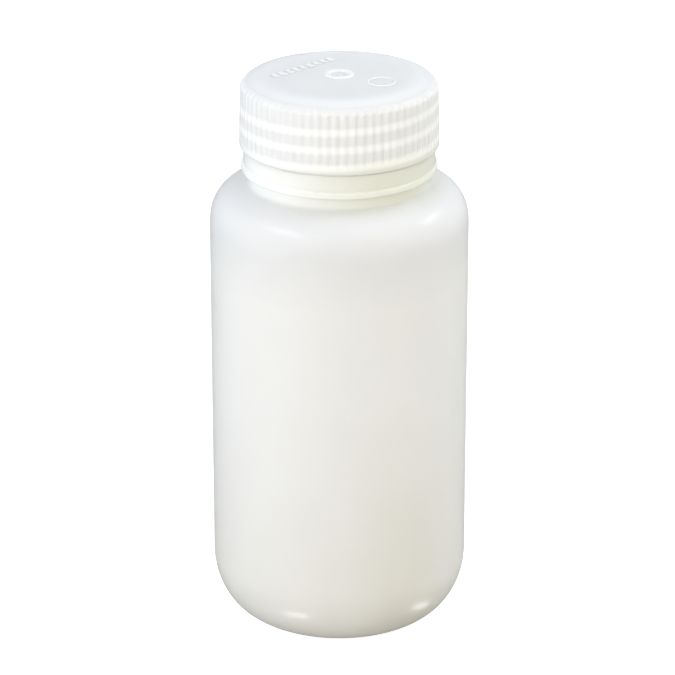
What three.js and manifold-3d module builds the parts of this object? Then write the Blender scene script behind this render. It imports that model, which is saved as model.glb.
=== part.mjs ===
// Wide-mouth reagent bottle with a ribbed screw cap and a loose sealing disc.
// Millimetres, +Z up, the middle of the bottle's base at the origin.
import * as THREE from 'three';
import { mergeVertices } from 'three/addons/utils/BufferGeometryUtils.js';
import Module from 'manifold-3d';

// Bottle: body
const BODY_RADIUS = 30.75;
const WALL = 1.4;
const HEEL_WIDE = 11.4;
const HEEL_TALL = 15.5;
const SHOULDER_START = 99.5;
const SHOULDER_TALL = 11.0;
const SHOULDER_WIDE = 12.4;
const SHOULDER_SQUARENESS = 2.5;
const STAND_INNER_RADIUS = 16.8;
const PUSH_UP = 2.6;

// Bottle: neck, collar and threaded finish
const GROOVE_RADIUS = 21.7;
const GROOVE_BOTTOM = 110.9;
const FLANGE_RADIUS = 23.2;
const FLANGE_BOTTOM = 113.5;
const FLANGE_TOP = 115.1;
const FLANGE_ROUNDING = 0.5;
const COLLAR_RADIUS = 22.7;
const COLLAR_TOP = 119.3;
const EDGE = 0.4;
const FINISH_RADIUS = 19.6;
const BORE_RADIUS = 17.9;
const BORE_BOTTOM = 110.9;
const BORE_ROUNDING = 1.5;
const LIP_TOP = 133.25;

// Threads: six to the inch, right-handed
const PITCH = 25.4 / 6;
const NECK_THREAD_CREST = 20.75;
const NECK_THREAD_START = 122.55;
const NECK_THREAD_TURNS = 2.1;
const THREAD_FIRST_ANGLE = 318;
const CAP_THREAD_CREST = 20.15;
const CAP_THREAD_DROP = 1.3;
const CAP_THREAD_TURNS = 1.9;
const THREAD_ROOT_WIDTH = 1.8;
const THREAD_CREST_WIDTH = 0.9;
const THREAD_EMBED = 0.35;
const THREAD_RUN_OUT = 25;

// Cap
const CAP_BOTTOM = 119.6;
const BAND_RADIUS = 23.62;
const BAND_TALL = 1.7;
const RIB_COUNT = 70;
const RIB_DEPTH = 0.35;
const RIB_TOP_RADIUS = 23.3;
const RIB_TOP = 133.3;
const RIM_RADIUS = 22.0;
const RIM_TOP = 135.2;
const CROWN_RADIUS = 16.5;
const CAP_TOP = 136.4;
const CAP_INNER_RADIUS = 21.3;
const CEILING = 134.6;
const CEILING_RADIUS = 20.7;

// Marks moulded on the crown: gate ring in the middle, a plain ring and a plain row of blocks
const GATE_OUTER = 3.5;
const GATE_INNER = 2.3;
const GATE_RISE = 0.35;
const GATE_DEPTH = 0.3;
const GATE_STUB_RADIUS = 0.6;
const RING_MARK_AT = [9.8, -5.6];
const RING_MARK_OUTER = 3.4;
const RING_MARK_WIDTH = 0.5;
const BLOCK_ROW_AT = [-8.5, 5.0];
const BLOCK_ROW_ANGLE = 44;
const BLOCK_COUNT = 9;
const BLOCK_SPACING = 2.2;
const BLOCK_SIZE = [1.4, 2.4];
const MARK_RISE = 0.2;

// Sealing disc
const LINER_RADIUS = 20.5;
const LINER_BOTTOM = 133.5;
const LINER_THICKNESS = 0.85;

const SIDES = 72;
const MARK_SIDES = 36;
const THREAD_STEP = 7.5;
const DEGREE = Math.PI / 180;

const wasm = await Module();
wasm.setup();

// Points of a quarter turn of an ellipse-like curve; squareness 2 is a plain ellipse.
function quarter(middle, wide, tall, from, to, count, squareness = 2) {
  const power = (value) => Math.sign(value) * Math.abs(value) ** (2 / squareness);
  return Array.from({ length: count + 1 }, (_, i) => {
    const angle = (from + ((to - from) * i) / count) * DEGREE;
    return [middle[0] + wide * power(Math.cos(angle)), middle[1] + tall * power(Math.sin(angle))];
  });
}

// A closed geometry as a solid that can be cut and joined. Slivers on an axis are left out.
function solid(geometry) {
  geometry.deleteAttribute('normal');
  geometry.deleteAttribute('uv');
  const merged = mergeVertices(geometry);
  const index = merged.index.array;
  const triVerts = [];
  for (let i = 0; i < index.length; i += 3) {
    const [a, b, c] = index.slice(i, i + 3);
    if (a !== b && b !== c && a !== c) triVerts.push(a, b, c);
  }
  const mesh = new wasm.Mesh({
    numProp: 3,
    vertProperties: new Float32Array(merged.attributes.position.array),
    triVerts: new Uint32Array(triVerts),
  });
  return new wasm.Manifold(mesh);
}

// Revolves a counter-clockwise outline of [radius, z, notch depth], which starts and ends on the
// axis or closes on itself. notch(step) says how much of the notch depth is cut away at that step.
function turned(outline, steps = SIDES, notch = () => 0) {
  const closed = outline[0][0] === 0 ? outline : [...outline, outline[0]];
  const points = closed.map(([radius, z]) => new THREE.Vector2(radius, z));
  const geometry = new THREE.LatheGeometry(points, steps, Math.PI / 2);
  const { position } = geometry.attributes;
  for (let i = 0; i < position.count; i += 1) {
    const [radius, , depth = 0] = closed[i % closed.length];
    const step = Math.floor(i / closed.length) % steps;
    const share = depth === 0 ? 1 : 1 - (depth * notch(step)) / radius;
    position.setX(i, position.getX(i) * share);
    position.setZ(i, position.getZ(i) * share);
  }
  return solid(geometry.rotateX(Math.PI / 2));
}

// A helical ridge that stands on a wall and fades into it at both ends.
function threadRidge(wallRadius, crestRadius, bottom, firstAngle, turns) {
  const outward = Math.sign(crestRadius - wallRadius);
  const buried = wallRadius - outward * THREAD_EMBED;
  const last = Math.round((turns * 360) / THREAD_STEP);
  const positions = [];
  for (let i = 0; i <= last; i += 1) {
    const along = i * THREAD_STEP;
    const fade = Math.min(1, along / THREAD_RUN_OUT, (turns * 360 - along) / THREAD_RUN_OUT);
    const crest = buried + (crestRadius - buried) * Math.max(0.1, fade);
    const middle = bottom + (PITCH * along) / 360;
    const angle = (firstAngle + along) * DEGREE;
    const section = [
      [buried, -THREAD_ROOT_WIDTH / 2],
      [crest, -THREAD_CREST_WIDTH / 2],
      [crest, THREAD_CREST_WIDTH / 2],
      [buried, THREAD_ROOT_WIDTH / 2],
    ];
    if (outward < 0) section.reverse();
    for (const [radius, rise] of section) {
      positions.push([radius * Math.cos(angle), radius * Math.sin(angle), middle + rise]);
    }
  }
  const triangles = [[0, 1, 2], [0, 2, 3]];
  for (let i = 0; i < last; i += 1) {
    for (let j = 0; j < 4; j += 1) {
      const near = i * 4;
      const far = near + 4;
      const next = (j + 1) % 4;
      triangles.push([near + j, far + j, far + next], [near + j, far + next, near + next]);
    }
  }
  const end = last * 4;
  triangles.push([end, end + 2, end + 1], [end, end + 3, end + 2]);
  const geometry = new THREE.BufferGeometry();
  geometry.setAttribute('position', new THREE.Float32BufferAttribute(positions.flat(), 3));
  geometry.setIndex(triangles.flat());
  return solid(geometry);
}

function shoulder(wall, count) {
  const middle = [BODY_RADIUS - SHOULDER_WIDE, SHOULDER_START];
  return quarter(middle, SHOULDER_WIDE - wall, SHOULDER_TALL - wall, 0, 77, count, SHOULDER_SQUARENESS);
}

function heel(wall, from, to, count) {
  const middle = [BODY_RADIUS - HEEL_WIDE, HEEL_TALL];
  return quarter(middle, HEEL_WIDE - wall, HEEL_TALL - wall, from, to, count);
}

// Half of the dome under the base, which meets the standing ring at a slope.
function pushUp(lift, count) {
  return Array.from({ length: count + 1 }, (_, i) => {
    const share = i / count;
    return [STAND_INNER_RADIUS * share, lift + PUSH_UP * (1 - share * share)];
  });
}

function makeBottle() {
  const outside = [
    ...pushUp(0, 4),
    ...heel(0, -90, 0, 8),
    ...shoulder(0, 9),
    [GROOVE_RADIUS + EDGE, GROOVE_BOTTOM - EDGE],
    [GROOVE_RADIUS, GROOVE_BOTTOM],
    [GROOVE_RADIUS, FLANGE_BOTTOM],
    [FLANGE_RADIUS - FLANGE_ROUNDING, FLANGE_BOTTOM],
    [FLANGE_RADIUS, FLANGE_BOTTOM + FLANGE_ROUNDING],
    [FLANGE_RADIUS, FLANGE_TOP - FLANGE_ROUNDING],
    [COLLAR_RADIUS, FLANGE_TOP],
    [COLLAR_RADIUS, COLLAR_TOP - EDGE],
    [COLLAR_RADIUS - EDGE, COLLAR_TOP],
    [FINISH_RADIUS + EDGE, COLLAR_TOP],
    [FINISH_RADIUS, COLLAR_TOP + EDGE],
    [FINISH_RADIUS, LIP_TOP - EDGE],
    [FINISH_RADIUS - EDGE, LIP_TOP],
  ];
  const inside = [
    [BORE_RADIUS + EDGE, LIP_TOP],
    [BORE_RADIUS, LIP_TOP - EDGE],
    ...quarter([BORE_RADIUS + BORE_ROUNDING, BORE_BOTTOM], BORE_ROUNDING, BORE_ROUNDING, 180, 270, 3),
    ...shoulder(WALL, 8).reverse(),
    ...heel(WALL, -90, 0, 7).reverse(),
    ...pushUp(WALL, 4).reverse(),
  ];
  const ridge = threadRidge(
    FINISH_RADIUS, NECK_THREAD_CREST, NECK_THREAD_START, THREAD_FIRST_ANGLE, NECK_THREAD_TURNS,
  );
  return turned([...outside, ...inside]).add(ridge);
}

function disc(radius, bottom, top) {
  return turned([[0, bottom], [radius, bottom], [radius, top], [0, top]], MARK_SIDES);
}

function ring(outer, inner, bottom, top) {
  return turned([[inner, bottom], [outer, bottom], [outer, top], [inner, top]], MARK_SIDES);
}

// Plain raised marks, with the gate's dimple cut into the crown.
function addMarks(shell) {
  const sink = CAP_TOP - GATE_DEPTH;
  const dimple = disc(GATE_INNER, sink, CAP_TOP + 1);
  const stub = disc(GATE_STUB_RADIUS, sink - EDGE, CAP_TOP);
  const gate = ring(GATE_OUTER, GATE_INNER, sink, CAP_TOP + GATE_RISE);
  const mark = ring(RING_MARK_OUTER, RING_MARK_OUTER - RING_MARK_WIDTH, sink, CAP_TOP + MARK_RISE);
  let marked = shell.subtract(dimple).add(stub).add(gate).add(mark.translate([...RING_MARK_AT, 0]));
  const height = MARK_RISE + GATE_DEPTH;
  const block = solid(new THREE.BoxGeometry(...BLOCK_SIZE, height)).translate([0, 0, sink + height / 2]);
  for (let i = 0; i < BLOCK_COUNT; i += 1) {
    const along = (i - (BLOCK_COUNT - 1) / 2) * BLOCK_SPACING;
    const placed = block.translate([along, 0, 0]).rotate([0, 0, BLOCK_ROW_ANGLE]);
    marked = marked.add(placed.translate([...BLOCK_ROW_AT, 0]));
  }
  return marked;
}

function makeCap() {
  const bandTop = CAP_BOTTOM + BAND_TALL;
  const shell = turned([
    [0, CAP_BOTTOM],
    [BAND_RADIUS - EDGE, CAP_BOTTOM],
    [BAND_RADIUS, CAP_BOTTOM + EDGE],
    [BAND_RADIUS, bandTop],
    [BAND_RADIUS, bandTop + EDGE, RIB_DEPTH],
    [RIB_TOP_RADIUS, RIB_TOP, RIB_DEPTH],
    [RIM_RADIUS + EDGE, RIM_TOP - EDGE, RIB_DEPTH / 2],
    [RIM_RADIUS, RIM_TOP],
    [(RIM_RADIUS + CROWN_RADIUS) / 2, CAP_TOP - (CAP_TOP - RIM_TOP) / 4],
    [CROWN_RADIUS, CAP_TOP],
    [0, CAP_TOP],
  ], RIB_COUNT * 4, (step) => (step % 4 < 2 ? 0 : 1));
  const cavity = turned([
    [0, CAP_BOTTOM - 1],
    [CAP_INNER_RADIUS, CAP_BOTTOM - 1],
    [CAP_INNER_RADIUS, CEILING - 2 * EDGE],
    [CEILING_RADIUS, CEILING],
    [0, CEILING],
  ]);
  // The cap's ridge lies close under the neck's, as on a tightened cap.
  const ridgeStart = NECK_THREAD_START - CAP_THREAD_DROP;
  const ridge = threadRidge(
    CAP_INNER_RADIUS, CAP_THREAD_CREST, ridgeStart, THREAD_FIRST_ANGLE, CAP_THREAD_TURNS,
  );
  return addMarks(shell.subtract(cavity).add(ridge));
}

function makeLiner() {
  const side = [[LINER_RADIUS, LINER_BOTTOM], [LINER_RADIUS, LINER_BOTTOM + LINER_THICKNESS]];
  return turned([[0, LINER_BOTTOM], ...side, [0, LINER_BOTTOM + LINER_THICKNESS]]);
}

function plastic(color, roughness) {
  return new THREE.MeshStandardMaterial({ color, roughness });
}

function node(name, manifold, material) {
  const { numProp, vertProperties, triVerts } = manifold.getMesh();
  const geometry = new THREE.BufferGeometry();
  geometry.setAttribute('position', new THREE.BufferAttribute(vertProperties, numProp));
  geometry.setIndex(Array.from(triVerts));
  geometry.computeVertexNormals();
  const mesh = new THREE.Mesh(geometry, material);
  mesh.name = name;
  return mesh;
}

const group = new THREE.Group();
group.name = 'reagent_bottle';
group.add(node('bottle', makeBottle(), plastic(0xeef0ec, 0.4)));
group.add(node('screw_cap', makeCap(), plastic(0xe6eaec, 0.35)));
group.add(node('cap_liner', makeLiner(), plastic(0xc7cccf, 0.6)));
export default group;
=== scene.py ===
"""Looks of the reagent bottle: a milky blown bottle, a translucent ribbed screw cap and its sealing disc.

The object's lengths are millimetres and are turned into metres when a mesh or a place in a material is made.
Where the camera, the lamps and the floor are, and the materials' grain and depth, are given in metres.
"""

import math

import bmesh
import bpy
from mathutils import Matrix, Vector


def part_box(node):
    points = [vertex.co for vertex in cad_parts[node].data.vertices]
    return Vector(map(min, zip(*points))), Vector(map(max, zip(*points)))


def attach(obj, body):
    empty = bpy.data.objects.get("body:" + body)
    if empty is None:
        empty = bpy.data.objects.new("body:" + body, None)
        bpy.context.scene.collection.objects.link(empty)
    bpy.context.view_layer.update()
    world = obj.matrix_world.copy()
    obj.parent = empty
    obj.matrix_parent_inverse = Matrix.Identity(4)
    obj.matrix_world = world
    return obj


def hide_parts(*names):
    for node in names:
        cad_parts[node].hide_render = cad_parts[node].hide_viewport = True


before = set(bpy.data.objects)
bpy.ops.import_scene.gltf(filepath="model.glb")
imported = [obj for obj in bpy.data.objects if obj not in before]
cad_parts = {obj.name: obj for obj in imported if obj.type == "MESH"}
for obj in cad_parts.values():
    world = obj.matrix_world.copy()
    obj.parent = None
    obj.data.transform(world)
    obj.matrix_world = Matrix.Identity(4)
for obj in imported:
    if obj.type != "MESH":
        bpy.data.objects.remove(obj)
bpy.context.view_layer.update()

MM = 0.001


def box_of(node):
    """A CAD node's lowest and highest corners, in millimetres."""
    return [[round(value / MM, 3) for value in corner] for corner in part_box(node)]


BOTTLE_BOX, CAP_BOX, LINER_BOX = box_of("bottle"), box_of("screw_cap"), box_of("cap_liner")

# Camera and lamps
CAMERA_PITCH, CAMERA_DISTANCE, CAMERA_AIM_HEIGHT = 22.28, 0.855, 0.070
CAMERA_LENS, CAMERA_SENSOR, CAMERA_SHIFT = 189.637, 36.0, -0.00267
LAMP_DISTANCE, LAMP_AIM_HEIGHT = 1.3, 0.075

# Surroundings' colour in front, behind, overhead and below
SKY_FRONT = (0.4, 0.4, 0.385, 1)
SKY_BACK = (0.62, 0.63, 0.64, 1)
SKY_HIGH = (0.58, 0.59, 0.61, 1)
SKY_LOW = (0.43, 0.43, 0.41, 1)

# Bottle body
BODY_RADIUS = BOTTLE_BOX[1][0]
WALL = 1.4
HEEL_WIDE, HEEL_TALL = 11.4, 15.5
SHOULDER_START, SHOULDER_TALL, SHOULDER_WIDE = 99.5, 11.0, 12.4
SHOULDER_SQUARENESS, SHOULDER_TURN = 2.5, 76
SIDE_MARGIN = 4
STAND_INNER_RADIUS = 16.8
PUSH_UP, PUSH_UP_STEPS = 2.6, 12
BOTTLE_SIDES = 256

# Neck, collar and threaded finish
GROOVE_RADIUS, GROOVE_BOTTOM = 21.7, 110.9
FLANGE_RADIUS, FLANGE_BOTTOM, FLANGE_TOP = 23.2, 113.5, 115.1
COLLAR_RADIUS, COLLAR_TOP = 22.7, 119.3
FINISH_RADIUS, BORE_RADIUS = 19.6, 17.9
BORE_BOTTOM, BORE_ROUNDING = 110.9, 1.5
LIP_TOP, LIP_ROUNDING = BOTTLE_BOX[1][2], 0.5

# Threads
PITCH = 25.4 / 6
NECK_THREAD = {"height": 1.15, "start": 122.55, "angle": 318.0, "turns": 2.1}
CAP_THREAD = {"height": 1.15, "start": 121.25, "angle": 318.0, "turns": 1.9}
THREAD_HALF_WIDTH = 0.9
THREAD_RUN_OUT = 25.0
THREAD_FLATNESS, THREAD_SLOPE = 1.9, 1.2
RIDGE_COLOR_RISE = 0.3

# Cap
CAP_BOTTOM, BAND_RADIUS, BAND_TALL = CAP_BOX[0][2], CAP_BOX[1][0] - 0.02, 1.7
BAND_TOP = CAP_BOTTOM + BAND_TALL
RIB_COUNT, RIB_DEPTH, RIB_SHARPNESS = 70, 0.3, 1.5
RIB_FADE_IN, RIB_FADE_OUT = 0.7, 0.8
RIB_TOP_RADIUS, RIB_TOP = 23.3, 133.3
RIM_RADIUS, RIM_TOP = 22.0, 135.2
CROWN_RADIUS, CAP_TOP = 16.5, 136.4
CAP_INNER_RADIUS, CEILING = 21.3, 134.6
CAP_SIDES = RIB_COUNT * 8

# Marks on the crown
GATE_OUTER, GATE_INNER, GATE_RISE, GATE_DEPTH = 3.5, 2.3, 0.33, 0.3
GATE_STUB_RADIUS = 0.55
MARK_RISE, MARK_ROOT = 0.19, 0.04
RING_MARK_AT, RING_MARK_OUTER, RING_MARK_WIDTH = (9.8, -5.6), 3.4, 0.5
RING_MARK_SIDES, RING_MARK_POINTS = 72, 8
BLOCK_ROW_AT, BLOCK_ROW_ANGLE = (-8.5, 5.0), 44.0
BLOCK_COUNT, BLOCK_SPACING, BLOCK_SIZE, BLOCK_BEVEL = 9, 2.2, (1.4, 2.4), 0.07
LARGEST_SMOOTH_FACE = 1.2

# Sealing disc, a little inside its CAD solid
LINER_RADIUS = LINER_BOX[1][0] - 0.1
LINER_BOTTOM, LINER_TOP = LINER_BOX[0][2] + 0.02, LINER_BOX[1][2] - 0.03
LINER_SIDES = 160

# The middle of a noise's range, over which its effects blend
NOISE_LOW, NOISE_HIGH = 0.3, 0.7

# The threads behind the skirt, where they show through it as painted light bands
SHOWN_START, SHOWN_HALF_WIDTH, SHOWN_END, SHOWN_SOFTNESS = 121.9, 0.2, 131.8, 0.1

# Colours of the cap. The backed colours are painted light where the threads and the bottle's lip lie close
# behind it, and the skirt's foot colour is painted shade, an olive tint on the right of its lower edge.
CAP_LOW, CAP_HIGH = (0.94, 0.94, 0.935, 1), (0.955, 0.955, 0.95, 1)
SKIRT_LOW, SKIRT_HIGH = (0.955, 0.96, 0.97, 1), (0.97, 0.975, 0.985, 1)
SKIRT_FOOT_SHADE = (0.885, 0.89, 0.83, 1)
CROWN_LOW, CROWN_HIGH = (0.935, 0.955, 0.975, 1), (0.95, 0.97, 0.985, 1)
MARKS_LOW, MARKS_HIGH = (0.965, 0.97, 0.975, 1), (0.98, 0.985, 0.99, 1)
PAINTED_THREAD_LIGHT, PAINTED_LIP_LIGHT = (0.965, 0.965, 0.96, 1), (0.855, 0.865, 0.872, 1)


# ---- camera, floor and light ----

def add_camera():
    """Looks down at the bottle's front from far enough off that its sides run nearly straight."""
    pitch = math.radians(CAMERA_PITCH)
    away = Vector((0, -math.cos(pitch), math.sin(pitch)))
    data = bpy.data.cameras.new("camera")
    data.sensor_width = CAMERA_SENSOR
    data.lens = CAMERA_LENS
    data.shift_x = CAMERA_SHIFT
    data.clip_end = 50
    camera = bpy.data.objects.new("camera", data)
    camera.location = Vector((0, 0, CAMERA_AIM_HEIGHT)) + CAMERA_DISTANCE * away
    camera.rotation_euler = (math.pi / 2 - pitch, 0, 0)
    bpy.context.collection.objects.link(camera)
    bpy.context.scene.camera = camera


def add_softbox(name, azimuth, elevation, size, power, color=(1.0, 1.0, 1.0), mirrored=False):
    """A lamp aimed at the bottle. Azimuth 0 is in front of it and 90 to its right. A mirrored lamp only makes
    highlights; the others only light the surfaces evenly."""
    turn, rise = math.radians(azimuth), math.radians(elevation)
    away = Vector((math.sin(turn) * math.cos(rise), -math.cos(turn) * math.cos(rise), math.sin(rise)))
    data = bpy.data.lights.new(name, "AREA")
    data.shape = "RECTANGLE"
    data.size, data.size_y = size
    data.energy = power
    data.color = color
    lamp = bpy.data.objects.new(name, data)
    lamp.visible_glossy = mirrored
    lamp.visible_diffuse = not mirrored
    lamp.location = Vector((0, 0, LAMP_AIM_HEIGHT)) + away * LAMP_DISTANCE
    lamp.rotation_mode = "QUATERNION"
    lamp.rotation_quaternion = away.to_track_quat("Z", "Y")
    bpy.context.collection.objects.link(lamp)


def add_lights():
    add_softbox("front_left", -38, 15, (1.0, 1.0), 10.4, (0.92, 0.945, 1.0))
    add_softbox("front", 5, 12, (1.4, 1.0), 6.3, (1.0, 0.9, 0.74))
    add_softbox("right", 86, 20, (0.8, 1.0), 4.5, (1.0, 0.98, 0.9))
    add_softbox("right_back", 115, 35, (0.9, 1.2), 9.2, (0.835, 0.9, 1.0))
    add_softbox("left", -95, 20, (0.8, 1.0), 4.0, (0.72, 0.86, 1.0))
    add_softbox("strip_left", -60, 48, (0.8, 0.12), 2.0, mirrored=True)
    add_softbox("strip_right", 111, 37, (0.45, 0.04), 0.8, mirrored=True)
    add_softbox("table_glint_left", -54, -58, (0.4, 0.08), 1.1, mirrored=True)
    add_softbox("table_glint_right", 103, -50, (0.45, 0.04), 0.8, mirrored=True)


def add_sky():
    """Soft light from all round: one shade in front, one behind, one overhead and the table's from below."""
    world = bpy.data.worlds.new("studio")
    world.use_nodes = True
    tree = world.node_tree
    place = tree.nodes.new("ShaderNodeTexCoord")
    parts = tree.nodes.new("ShaderNodeSeparateXYZ")
    tree.links.new(place.outputs["Generated"], parts.inputs["Vector"])

    def blend(axis, start, end, first, second):
        share = tree.nodes.new("ShaderNodeMapRange")
        share.interpolation_type = "SMOOTHSTEP"
        share.inputs["From Min"].default_value = start
        share.inputs["From Max"].default_value = end
        tree.links.new(parts.outputs[axis], share.inputs["Value"])
        mix = tree.nodes.new("ShaderNodeMix")
        mix.data_type = "RGBA"
        tree.links.new(share.outputs["Result"], mix.inputs[0])
        for socket, value in ((mix.inputs[6], first), (mix.inputs[7], second)):
            if isinstance(value, bpy.types.NodeSocket):
                tree.links.new(value, socket)
            else:
                socket.default_value = value
        return mix.outputs[2]

    around = blend("Y", -0.1, 0.5, SKY_FRONT, SKY_BACK)
    upper = blend("Z", 0.4, 0.75, around, SKY_HIGH)
    tree.links.new(blend("Z", -0.2, 0.0, SKY_LOW, upper), tree.nodes["Background"].inputs["Color"])
    bpy.context.scene.world = world


def add_disc(name, depth, color, glow, seen):
    """One wide disc of the floor. The camera sees it, or else it only throws light back."""
    mesh = bpy.data.meshes.new(name)
    shape = bmesh.new()
    bmesh.ops.create_circle(shape, cap_ends=True, segments=96, radius=6)
    shape.to_mesh(mesh)
    shape.free()
    material = bpy.data.materials.new(name)
    material.use_nodes = True
    shader = material.node_tree.nodes["Principled BSDF"]
    shader.inputs["Base Color"].default_value = color
    shader.inputs["Roughness"].default_value = 0.9
    shader.inputs["Emission Color"].default_value = (1, 1, 1, 1)
    shader.inputs["Emission Strength"].default_value = glow
    mesh.materials.append(material)
    disc = bpy.data.objects.new(name, mesh)
    disc.location.z = -depth
    disc.visible_camera = seen
    disc.visible_diffuse = not seen
    disc.visible_transmission = not seen
    disc.visible_glossy = False
    disc.visible_shadow = False
    bpy.context.collection.objects.link(disc)


def add_floor():
    """What the camera sees is nearly white; what lights the bottle from below is a dimmer disc under it."""
    add_disc("floor", 0.0003, (0.8, 0.8, 0.8, 1), 0.75, True)
    add_disc("floor_bounce", 0.0006, (0.38, 0.37, 0.33, 1), 0.0, False)


# ---- procedural materials ----

class Nodes:
    """Short calls for building one material's node tree."""

    def __init__(self, name):
        self.material = bpy.data.materials.new(name)
        self.material.use_nodes = True
        self.tree = self.material.node_tree
        self.tree.nodes.clear()
        self.output = self.tree.nodes.new("ShaderNodeOutputMaterial")
        self.place = self.tree.nodes.new("ShaderNodeTexCoord").outputs["Object"]

    def add(self, kind, inputs, **settings):
        node = self.tree.nodes.new(kind)
        for key, value in settings.items():
            setattr(node, key, value)
        for key, value in inputs.items():
            if isinstance(value, bpy.types.NodeSocket):
                self.tree.links.new(value, node.inputs[key])
            else:
                node.inputs[key].default_value = value
        return node

    def scaled(self, scale):
        return self.add("ShaderNodeMapping", {"Vector": self.place, "Scale": scale}).outputs["Vector"]

    def coordinate(self, axis):
        return self.add("ShaderNodeSeparateXYZ", {"Vector": self.place}).outputs[axis]

    def noise(self, scale, stretch=(1, 1, 1), detail=3.0):
        inputs = {"Vector": self.scaled(stretch), "Scale": scale, "Detail": detail}
        return self.add("ShaderNodeTexNoise", inputs).outputs["Fac"]

    def calculate(self, operation, first, second):
        return self.add("ShaderNodeMath", {0: first, 1: second}, operation=operation).outputs["Value"]

    def ranged(self, value, start, end, low=0.0, high=1.0, clamp=True):
        """Takes a value from the range start..end to low..high."""
        inputs = {"Value": value, "From Min": start, "From Max": end, "To Min": low, "To Max": high}
        return self.add("ShaderNodeMapRange", inputs, clamp=clamp).outputs["Result"]

    def between(self, cloud, low, high):
        """Takes the middle of a noise's range to low..high."""
        return self.ranged(cloud, NOISE_LOW, NOISE_HIGH, low, high)

    def ramp(self, cloud, low, high):
        """Blends two colours over the middle of a noise's range."""
        node = self.add("ShaderNodeValToRGB", {"Fac": cloud})
        first, last = node.color_ramp.elements
        first.position, last.position = NOISE_LOW, NOISE_HIGH
        first.color, last.color = low, high
        return node.outputs["Color"]

    def blend(self, share, low, high):
        return self.add("ShaderNodeMix", {0: share, 6: low, 7: high}, data_type="RGBA").outputs[2]

    def along(self, axis, low, high, start, end):
        """Blends from one colour to another over a stretch of one object coordinate, in millimetres."""
        return self.blend(self.ranged(self.coordinate(axis), start * MM, end * MM), low, high)

    def bump(self, height, distance, strength, normal=None):
        inputs = {"Height": height, "Distance": distance, "Strength": strength}
        if normal is not None:
            inputs["Normal"] = normal
        return self.add("ShaderNodeBump", inputs).outputs["Normal"]

    def see_through(self, share, milk, tint):
        """Lets a share of the light straight through a shader."""
        clear = self.add("ShaderNodeBsdfTransparent", {"Color": tint}).outputs["BSDF"]
        return self.add("ShaderNodeMixShader", {0: share, 1: milk, 2: clear}).outputs["Shader"]

    def finish(self, shader):
        self.tree.links.new(shader, self.output.inputs["Surface"])
        return self.material


def bottle_plastic():
    """Milky polyethylene: clouded, with a satin skin and fine draw lines; its colour carries painted shade
    and light.
    """
    n = Nodes("milky_polyethylene")
    cloud = n.noise(45, detail=4)
    streak = n.noise(260, stretch=(1, 1, 0.03), detail=2)
    grain = n.noise(2600, detail=2)
    # Painted shade: darker and warmer towards the heel, in a warm band right of the middle low on the body,
    # and darker over the shoulder.
    painted_heel_shade = n.ramp(cloud, (0.79, 0.775, 0.73, 1), (0.805, 0.79, 0.75, 1))
    painted_warm_band_shade = n.ramp(cloud, (0.74, 0.725, 0.655, 1), (0.755, 0.74, 0.675, 1))
    side = n.ramp(cloud, (0.89, 0.88, 0.855, 1), (0.905, 0.898, 0.878, 1))
    painted_shoulder_shade = n.ramp(cloud, (0.775, 0.78, 0.79, 1), (0.79, 0.795, 0.805, 1))
    # Painted light on the neck's left and painted shade on its right; the neck's darker, greener tone is
    # partly the thick plastic's own tint.
    painted_neck_light = n.ramp(cloud, (0.87, 0.875, 0.865, 1), (0.88, 0.885, 0.875, 1))
    painted_neck_shade = n.ramp(cloud, (0.75, 0.755, 0.675, 1), (0.76, 0.765, 0.69, 1))
    low = n.along("X", n.along("X", painted_heel_shade, painted_warm_band_shade, 2, 12), painted_heel_shade, 18, 26)
    body = n.along("Z", n.along("Z", low, side, 12, 65), painted_shoulder_shade, 88, 102)
    neck = n.along("X", painted_neck_light, painted_neck_shade, -20, 9)
    shader = n.add("ShaderNodeBsdfPrincipled", {
        "Base Color": n.along("Z", body, neck, 108.5, 111.5),
        "Roughness": n.between(cloud, 0.21, 0.265),
        "IOR": 1.54,
        "Subsurface Weight": 1.0,
        "Subsurface Radius": (1.0, 1.0, 1.0),
        "Subsurface Scale": 0.003,
        "Normal": n.bump(grain, 0.000012, 0.6, n.bump(streak, 0.00002, 0.5)),
    })
    return n.finish(shader.outputs["BSDF"])


# The skirt takes painted light over this helix.
def thread_backing(n):
    """1 where the thread ridges back the skirt's wall and 0 between them: a helix about the cap's axis."""
    angle = n.calculate("ARCTAN2", n.coordinate("Y"), n.coordinate("X"))
    height = n.coordinate("Z")
    first = math.radians(CAP_THREAD["angle"])
    turned = n.ranged(angle, first, first + 2 * math.pi, clamp=False)
    risen = n.ranged(height, SHOWN_START * MM, (SHOWN_START + PITCH) * MM, clamp=False)
    away = n.calculate("PINGPONG", n.calculate("SUBTRACT", risen, turned), 0.5)
    band = n.ranged(away, SHOWN_HALF_WIDTH + SHOWN_SOFTNESS, SHOWN_HALF_WIDTH - SHOWN_SOFTNESS)
    below_end = n.ranged(height, (SHOWN_END + 0.4) * MM, SHOWN_END * MM)
    return n.calculate("MULTIPLY", band, below_end)


# The crown takes painted light over this ring.
def lip_backing(n):
    """1 over the bottle's lip and the cap's thick rim, 0 over its open mouth."""
    radius = n.add("ShaderNodeVectorMath", {0: n.scaled((1, 1, 0))}, operation="LENGTH").outputs["Value"]
    return n.ranged(radius, (BORE_RADIUS - 0.7) * MM, (BORE_RADIUS + 0.7) * MM)


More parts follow.
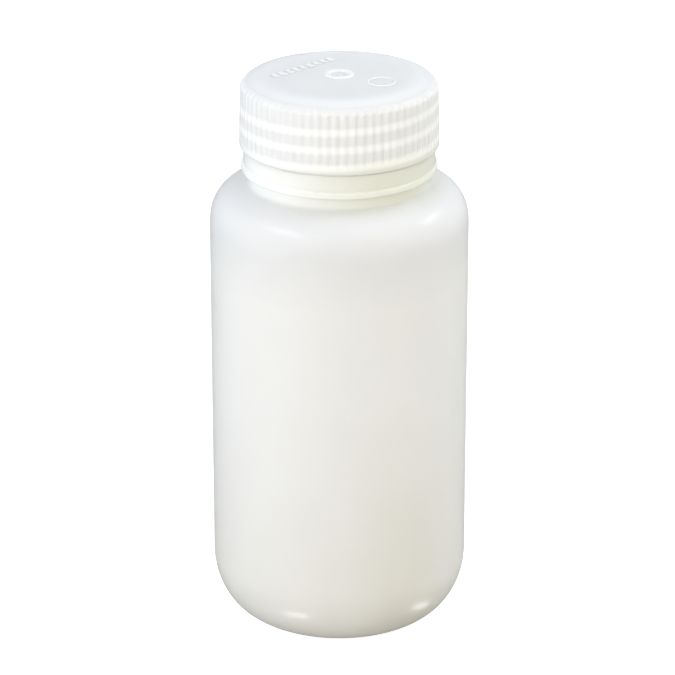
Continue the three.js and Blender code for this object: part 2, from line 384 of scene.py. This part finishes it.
def cap_plastic(name, clear, low, high, depth=0.0015, backing=None, painted_backing_light=None, foot_shade_color=None):
    """Natural polypropylene with flow clouding and a soft gloss. clear is the share seen straight through a
    face that is looked at squarely; a face seen edge-on passes less, as the light runs further through the
    plastic. depth is how far light spreads inside it. Where backing(n) is 1, plastic lies close behind: the
    wall is closed up and takes the backing colour, painted light for that plastic seen through it. The foot
    colour is painted shade on the right of the skirt's lower edge."""
    n = Nodes(name)
    cloud = n.noise(120, detail=4)
    grain = n.noise(3200, detail=2)
    color = n.ramp(cloud, low, high)
    facing = n.add("ShaderNodeLayerWeight", {"Blend": 0.5}).outputs["Facing"]
    share = n.ranged(facing, 0.55, 0.98, clear, clear * 0.1)
    # Painted light: where plastic lies close behind, the wall is closed up and takes a painted colour for it.
    if backing:
        backed = backing(n)
        color = n.blend(backed, color, painted_backing_light)
        share = n.calculate("MULTIPLY", share, n.ranged(backed, 0.0, 1.0, 1.0, 0.2))
    # Painted shade: an olive tint on the right of the skirt's lower edge.
    if foot_shade_color:
        foot = n.along("X", color, foot_shade_color, -22, 6)
        color = n.along("Z", foot, color, CAP_BOTTOM + 0.5, CAP_BOTTOM + 7.5)
    milk = n.add("ShaderNodeBsdfPrincipled", {
        "Base Color": color,
        "Roughness": n.between(cloud, 0.2, 0.265),
        "IOR": 1.49,
        "Subsurface Weight": 1.0,
        "Subsurface Radius": (1.0, 1.0, 1.0),
        "Subsurface Scale": depth,
        "Normal": n.bump(grain, 0.00001, 0.5),
    })
    return n.finish(n.see_through(share, milk.outputs["BSDF"], (0.985, 0.99, 0.99, 1)))


def liner_film():
    """A soft film disc: nearly colourless, dull, with a fine pebbled face."""
    n = Nodes("sealing_film")
    pebble = n.noise(1500, detail=2)
    cloud = n.noise(200)
    milk = n.add("ShaderNodeBsdfPrincipled", {
        "Base Color": n.ramp(cloud, (0.74, 0.77, 0.79, 1), (0.8, 0.82, 0.83, 1)),
        "Roughness": n.between(cloud, 0.5, 0.62),
        "Normal": n.bump(pebble, 0.00003, 0.7),
    })
    share = n.between(cloud, 0.72, 0.8)
    return n.finish(n.see_through(share, milk.outputs["BSDF"], (0.97, 0.98, 0.98, 1)))


# ---- shapes ----

def quarter(middle, wide, tall, start, end, count, squareness=2.0):
    """Points of part of an ellipse-like curve, angles in degrees; squareness 2 is a plain ellipse."""
    points = []
    for i in range(count + 1):
        angle = math.radians(start + (end - start) * i / count)
        across = math.copysign(abs(math.cos(angle)) ** (2 / squareness), math.cos(angle))
        along = math.copysign(abs(math.sin(angle)) ** (2 / squareness), math.sin(angle))
        points.append((middle[0] + wide * across, middle[1] + tall * along))
    return points


def rounded(corners, steps=5):
    """Replaces each corner (radius, z[, rounding]) by a small arc-like curve between its two sides."""
    points = []
    for i, corner in enumerate(corners):
        here = Vector(corner[:2])
        size = corner[2] if len(corner) > 2 else 0.3
        if size == 0 or i == 0 or i == len(corners) - 1:
            points.append(tuple(here))
            continue
        before = Vector(corners[i - 1][:2]) - here
        after = Vector(corners[i + 1][:2]) - here
        start = here + before.normalized() * min(size, before.length * 0.45)
        end = here + after.normalized() * min(size, after.length * 0.45)
        for k in range(steps + 1):
            t = k / steps
            points.append(tuple(start * (1 - t) ** 2 + here * 2 * t * (1 - t) + end * t * t))
    return points


def upright(radius, low, high, step):
    """Points up or down a straight wall, close enough together to carry a thread."""
    count = max(1, round(abs(high - low) / step))
    return [(radius, low + (high - low) * i / count) for i in range(count + 1)]


def sloped(start, end, count):
    """Points from start to end, without start itself."""
    points = []
    for i in range(1, count + 1):
        t = i / count
        points.append((start[0] + (end[0] - start[0]) * t, start[1] + (end[1] - start[1]) * t))
    return points


def push_up(lift):
    """The dome under the base, from its middle to the standing ring."""
    points = []
    for i in range(PUSH_UP_STEPS + 1):
        share = i / PUSH_UP_STEPS
        points.append((STAND_INNER_RADIUS * share, lift + PUSH_UP * (1 - share ** 2)))
    return points


def heel(wall, start, end, count):
    middle = (BODY_RADIUS - HEEL_WIDE, HEEL_TALL)
    return quarter(middle, HEEL_WIDE - wall, HEEL_TALL - wall, start, end, count)


def shoulder(wall, start, end, count):
    middle = (BODY_RADIUS - SHOULDER_WIDE, SHOULDER_START)
    wide, tall = SHOULDER_WIDE - wall, SHOULDER_TALL - wall
    return quarter(middle, wide, tall, start, end, count, SHOULDER_SQUARENESS)


def thread_rise(thread, angle, z):
    """How far a helical ridge stands out of its wall at this angle (degrees) and height."""
    best = 0.0
    turn = (angle - thread["angle"]) % 360.0
    while turn <= thread["turns"] * 360.0:
        middle = thread["start"] + PITCH * turn / 360.0
        fade = min(1.0, turn / THREAD_RUN_OUT, (thread["turns"] * 360.0 - turn) / THREAD_RUN_OUT)
        share = abs(z - middle) / THREAD_HALF_WIDTH
        if share < 1.0:
            profile = THREAD_FLATNESS * math.cos(share * math.pi / 2) ** THREAD_SLOPE
            best = max(best, thread["height"] * fade * min(1.0, profile))
        turn += 360.0
    return best


def on_wall(radius, wall_radius):
    return abs(radius - wall_radius) < 1e-6


def plain(radius, z, angle):
    return radius


def lathe(name, outline, sides, shape=plain, slot_of=lambda radius, z, angle, index: 0):
    """Revolves a closed outline of (radius, z). shape(radius, z, angle in degrees) gives the finished radius,
    and slot_of(radius, z, angle, place in the outline) the material slot of the face that starts there."""
    verts = []
    rings = []
    for radius, z in outline:
        if radius < 1e-6:
            rings.append([len(verts)] * sides)
            verts.append((0, 0, z * MM))
            continue
        rings.append(list(range(len(verts), len(verts) + sides)))
        for i in range(sides):
            angle = 360.0 * i / sides
            turn = math.radians(angle)
            reach = shape(radius, z, angle) * MM
            verts.append((reach * math.cos(turn), reach * math.sin(turn), z * MM))
    faces = []
    slots = []
    for index, (low, high) in enumerate(zip(rings, rings[1:] + rings[:1])):
        for i in range(sides):
            k = (i + 1) % sides
            corners = list(dict.fromkeys((low[i], low[k], high[k], high[i])))
            if len(corners) > 2:
                faces.append(corners)
                slots.append(slot_of(*outline[index], 360.0 * i / sides, index))
    mesh = bpy.data.meshes.new(name)
    mesh.from_pydata(verts, [], faces)
    mesh.polygons.foreach_set("material_index", slots)
    mesh.polygons.foreach_set("use_smooth", [True] * len(mesh.polygons))
    mesh.update()
    return mesh


def show(name, mesh, materials, body, node=None):
    """Makes a mesh a piece of the object, which rides on a body and may stand for a CAD node."""
    piece = bpy.data.objects.new(name, mesh)
    bpy.context.collection.objects.link(piece)
    for material in materials:
        mesh.materials.append(material)
    if node:
        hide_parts(node)
    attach(piece, body)


def bottle_outside():
    """From the middle of the base's underside, round the heel and shoulder and up the neck to the lip."""
    points = push_up(0.0)[:-1]
    points += rounded([
        (STAND_INNER_RADIUS - 0.6, 0.18),
        (STAND_INNER_RADIUS, 0.0, 0.4),
        (BODY_RADIUS - HEEL_WIDE, 0.0, 0.0),
    ])[1:-1]
    points += heel(0.0, -90, 0, 40)
    points += upright(BODY_RADIUS, HEEL_TALL + SIDE_MARGIN, SHOULDER_START - SIDE_MARGIN, 8)
    points += shoulder(0.0, 0, SHOULDER_TURN, 44)
    points += rounded([
        points[-1],
        (GROOVE_RADIUS, GROOVE_BOTTOM - 0.35, 0.6),
        (GROOVE_RADIUS, FLANGE_BOTTOM, 0.35),
        (FLANGE_RADIUS, FLANGE_BOTTOM, 0.55),
        (FLANGE_RADIUS, FLANGE_TOP, 0.6),
        (COLLAR_RADIUS, FLANGE_TOP + 0.1, 0.35),
        (COLLAR_RADIUS, COLLAR_TOP, 0.5),
        (FINISH_RADIUS, COLLAR_TOP, 0.5),
        (FINISH_RADIUS, NECK_THREAD["start"] - 1.2, 0.0),
    ])[1:]
    return points + upright(FINISH_RADIUS, NECK_THREAD["start"] - 1.1, LIP_TOP - LIP_ROUNDING, 0.16)


def bottle_inside():
    """From the lip down the bore, along the inner side of the wall to the middle of the base."""
    points = rounded([
        (FINISH_RADIUS, LIP_TOP - LIP_ROUNDING),
        (FINISH_RADIUS, LIP_TOP, 0.4),
        (BORE_RADIUS, LIP_TOP, 0.4),
        (BORE_RADIUS, LIP_TOP - 1.0, 0.0),
    ])[1:]
    points += upright(BORE_RADIUS, LIP_TOP - 2.0, BORE_BOTTOM + 0.5, 3)
    points += quarter((BORE_RADIUS + BORE_ROUNDING, BORE_BOTTOM), BORE_ROUNDING, BORE_ROUNDING, 180, 270, 10)
    points += shoulder(WALL, SHOULDER_TURN, 0, 30)
    points += upright(BODY_RADIUS - WALL, SHOULDER_START - SIDE_MARGIN, HEEL_TALL + SIDE_MARGIN, 12)
    points += heel(WALL, 0, -90, 24)
    return points + push_up(WALL)[::-1]


def bottle_shape(radius, z, angle):
    """Raises the neck's thread out of its wall."""
    return radius + (thread_rise(NECK_THREAD, angle, z) if on_wall(radius, FINISH_RADIUS) else 0.0)


def make_bottle():
    mesh = lathe("bottle_shell", bottle_outside() + bottle_inside(), BOTTLE_SIDES, bottle_shape)
    show("bottle_shell", mesh, [bottle_plastic()], "bottle", "bottle")


def cap_outside():
    """From the skirt's lower edge up the ribbed side and over the crown to the stub in the gate's dimple."""
    points = rounded([
        (CAP_INNER_RADIUS, CAP_BOTTOM + 0.5),
        (CAP_INNER_RADIUS + 0.3, CAP_BOTTOM, 0.25),
        (BAND_RADIUS, CAP_BOTTOM, 0.4),
        (BAND_RADIUS, BAND_TOP, 0.0),
    ], steps=4)[1:]
    points += upright(BAND_RADIUS, BAND_TOP + 0.12, BAND_TOP + 0.9, 0.12)
    points += upright(BAND_RADIUS, BAND_TOP + 1.2, BAND_TOP + 1.5, 0.3)
    points += sloped(points[-1], (RIB_TOP_RADIUS, RIB_TOP), 8)
    points += rounded([
        points[-1],
        (RIB_TOP_RADIUS - 0.02, RIM_TOP - 1.15, 0.95),
        (RIM_RADIUS, RIM_TOP, 0.7),
        ((RIM_RADIUS + CROWN_RADIUS) / 2, CAP_TOP - (CAP_TOP - RIM_TOP) / 4, 0.9),
        (CROWN_RADIUS, CAP_TOP, 0.9),
        (GATE_OUTER + 1.0, CAP_TOP, 0.0),
        (GATE_OUTER, CAP_TOP, 0.15),
        (GATE_OUTER - 0.1, CAP_TOP + GATE_RISE, 0.15),
        (GATE_INNER + 0.1, CAP_TOP + GATE_RISE, 0.15),
        (GATE_INNER - 0.25, CAP_TOP - GATE_DEPTH, 0.2),
        (GATE_STUB_RADIUS + 0.2, CAP_TOP - GATE_DEPTH - 0.05, 0.1),
        (GATE_STUB_RADIUS, CAP_TOP - 0.05, 0.1),
        (0.0, CAP_TOP),
    ], steps=6)[1:]
    return points


def cap_inside():
    """From the middle of the ceiling out and down the threaded wall."""
    points = rounded([
        (0.0, CEILING),
        (CAP_INNER_RADIUS - 0.6, CEILING, 0.3),
        (CAP_INNER_RADIUS, CEILING - 0.8, 0.3),
        (CAP_INNER_RADIUS, CEILING - 1.6, 0.0),
    ])
    return points + upright(CAP_INNER_RADIUS, CEILING - 1.8, CAP_BOTTOM + 0.7, 0.24)


def rib_shape(radius, z, angle):
    """Cuts rounded grooves between the ribs, fading in above the band and out over the rim's edge."""
    fade_in = min(1.0, max(0.0, (z - BAND_TOP) / RIB_FADE_IN))
    fade_out = min(1.0, max(0.0, (RIM_TOP - z) / RIB_FADE_OUT))
    wave = 0.5 - 0.5 * math.cos(math.radians(angle * RIB_COUNT))
    return radius - RIB_DEPTH * fade_in * fade_out * wave ** RIB_SHARPNESS


def cap_shape(radius, z, angle):
    """Raises the thread inside the skirt and cuts the ribs outside it."""
    if on_wall(radius, CAP_INNER_RADIUS):
        return radius - thread_rise(CAP_THREAD, angle, z)
    if radius > RIM_RADIUS - 0.4 and z > BAND_TOP:
        return rib_shape(radius, z, angle)
    return radius


def make_cap():
    skirt, lining, gate, crown, ridge = range(5)
    # The skirt carries painted light over the threads and painted shade at its foot, the crown painted light
    # over the lip.
    materials = [
        cap_plastic("polypropylene", 0.18, SKIRT_LOW, SKIRT_HIGH, backing=thread_backing,
                    painted_backing_light=PAINTED_THREAD_LIGHT, foot_shade_color=SKIRT_FOOT_SHADE),
        cap_plastic("polypropylene_inside", 0.85, CAP_LOW, CAP_HIGH),
        cap_plastic("polypropylene_gate", 0.05, CAP_LOW, CAP_HIGH, depth=0.0006),
        cap_plastic("polypropylene_crown", 0.18, CROWN_LOW, CROWN_HIGH, backing=lip_backing,
                    painted_backing_light=PAINTED_LIP_LIGHT),
        cap_plastic("polypropylene_ridge", 0.1, CAP_LOW, CAP_HIGH),
    ]
    outside = cap_outside()

    def slot_of(radius, z, angle, index):
        if index >= len(outside) - 1:
            rise = thread_rise(CAP_THREAD, angle, z) if on_wall(radius, CAP_INNER_RADIUS) else 0.0
            return ridge if rise > RIDGE_COLOR_RISE else lining
        if z > CAP_TOP - 0.01 and GATE_INNER - 0.3 < radius < GATE_OUTER + 0.3:
            return gate
        return crown if radius < RIM_RADIUS - 0.6 and z > RIM_TOP else skirt

    mesh = lathe("cap_shell", outside + cap_inside(), CAP_SIDES, cap_shape, slot_of)
    show("cap_shell", mesh, materials, "cap", "screw_cap")


def add_ring_mark(shape):
    """A plain raised ring with a rounded top."""
    middle = RING_MARK_OUTER - RING_MARK_WIDTH / 2
    rows = []
    for i in range(RING_MARK_SIDES):
        turn = 2 * math.pi * i / RING_MARK_SIDES
        row = []
        for k in range(RING_MARK_POINTS):
            roll = math.pi * k / (RING_MARK_POINTS - 1)
            reach = middle + RING_MARK_WIDTH / 2 * math.cos(roll)
            rise = CAP_TOP - MARK_ROOT + (MARK_RISE + MARK_ROOT) * math.sin(roll)
            x = RING_MARK_AT[0] + reach * math.cos(turn)
            y = RING_MARK_AT[1] + reach * math.sin(turn)
            row.append(shape.verts.new((x * MM, y * MM, rise * MM)))
        rows.append(row)
    for i, row in enumerate(rows):
        following = rows[(i + 1) % RING_MARK_SIDES]
        for k in range(RING_MARK_POINTS):
            j = (k + 1) % RING_MARK_POINTS
            shape.faces.new((row[k], following[k], following[j], row[j]))


def add_block_row(shape):
    """A plain row of raised blocks with softened edges."""
    turn = math.radians(BLOCK_ROW_ANGLE)
    for i in range(BLOCK_COUNT):
        made = bmesh.ops.create_cube(shape, size=1.0)["verts"]
        along = (i - (BLOCK_COUNT - 1) / 2) * BLOCK_SPACING
        for vert in made:
            x = vert.co.x * BLOCK_SIZE[0] + along
            y = vert.co.y * BLOCK_SIZE[1]
            z = CAP_TOP - MARK_ROOT if vert.co.z < 0 else CAP_TOP + MARK_RISE
            vert.co.x = (BLOCK_ROW_AT[0] + x * math.cos(turn) - y * math.sin(turn)) * MM
            vert.co.y = (BLOCK_ROW_AT[1] + x * math.sin(turn) + y * math.cos(turn)) * MM
            vert.co.z = z * MM
        edges = {edge for vert in made for edge in vert.link_edges}
        bmesh.ops.bevel(shape, geom=list(edges), offset=BLOCK_BEVEL * MM, segments=2, affect="EDGES")


def make_marks():
    """A plain ring and a plain row of blocks on the crown."""
    shape = bmesh.new()
    add_ring_mark(shape)
    add_block_row(shape)
    bmesh.ops.recalc_face_normals(shape, faces=shape.faces)
    mesh = bpy.data.meshes.new("cap_marks")
    shape.to_mesh(mesh)
    shape.free()
    smooth = [face.area < LARGEST_SMOOTH_FACE * MM * MM for face in mesh.polygons]
    mesh.polygons.foreach_set("use_smooth", smooth)
    material = cap_plastic("polypropylene_marks", 0.02, MARKS_LOW, MARKS_HIGH, depth=0.0001)
    show("cap_marks", mesh, [material], "cap")


def make_liner():
    outline = rounded([
        (0.0, LINER_BOTTOM),
        (LINER_RADIUS, LINER_BOTTOM, 0.25),
        (LINER_RADIUS, LINER_TOP, 0.25),
        (0.0, LINER_TOP),
    ])
    mesh = lathe("sealing_disc", outline, LINER_SIDES)
    show("sealing_disc", mesh, [liner_film()], "liner", "cap_liner")


add_camera()
add_lights()
add_sky()
add_floor()
make_bottle()
make_cap()
make_marks()
make_liner()
bpy.context.scene.view_settings.view_transform = "Standard"
